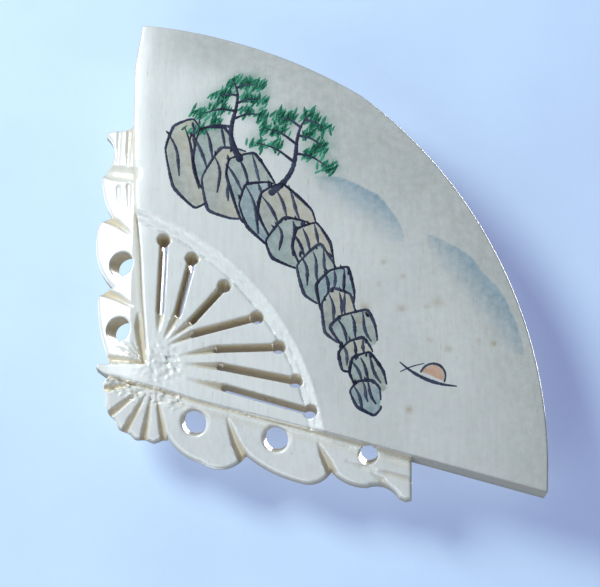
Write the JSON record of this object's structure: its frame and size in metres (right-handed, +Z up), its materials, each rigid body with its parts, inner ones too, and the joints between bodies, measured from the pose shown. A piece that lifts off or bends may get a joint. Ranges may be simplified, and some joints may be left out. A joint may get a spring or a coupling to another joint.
{
  "type": "fan brooch",
  "caption": "Carved bone brooch in the shape of an open folding fan, with pierced ribs, a scalloped drilled border, a painted face and a hinged safety pin on its back.",
  "frame": {"origin": "on the axis of the pin stem, halfway along its straight round stretch", "axes": "+Z up as the brooch is worn, +X along the pin from its hinge to its point, -Y out of the painted face"},
  "size_m": [0.045, 0.0081, 0.0503],
  "materials": {
    "bone": "satin",
    "glue": "gloss",
    "nickel_plate": "satin",
    "brass": "satin",
    "steel_wire": "polished"
  },
  "bodies": {
    "brooch": {"carved_fan": "bone", "glue_bed": "glue", "pin_bar": "nickel_plate", "fixing_nails": "brass", "catch_housing": "nickel_plate", "hinge_rivet": "brass"},
    "pin": {"pin_stem": "steel_wire"},
    "lock": {"locking_collar": "nickel_plate"}
  },
  "joints": [
    {"name": "pin_hinge", "type": "hinge", "parent": "brooch", "child": "pin", "pos_m": [-0.0126, 0, 0], "axis": [0, 0, 1], "range_deg": [0, 85]},
    {"name": "lock_turn", "type": "hinge", "parent": "brooch", "child": "lock", "pos_m": [0.0126, 0, 0], "axis": [1, 0, 0], "range_deg": [0, 90]}
  ]
}
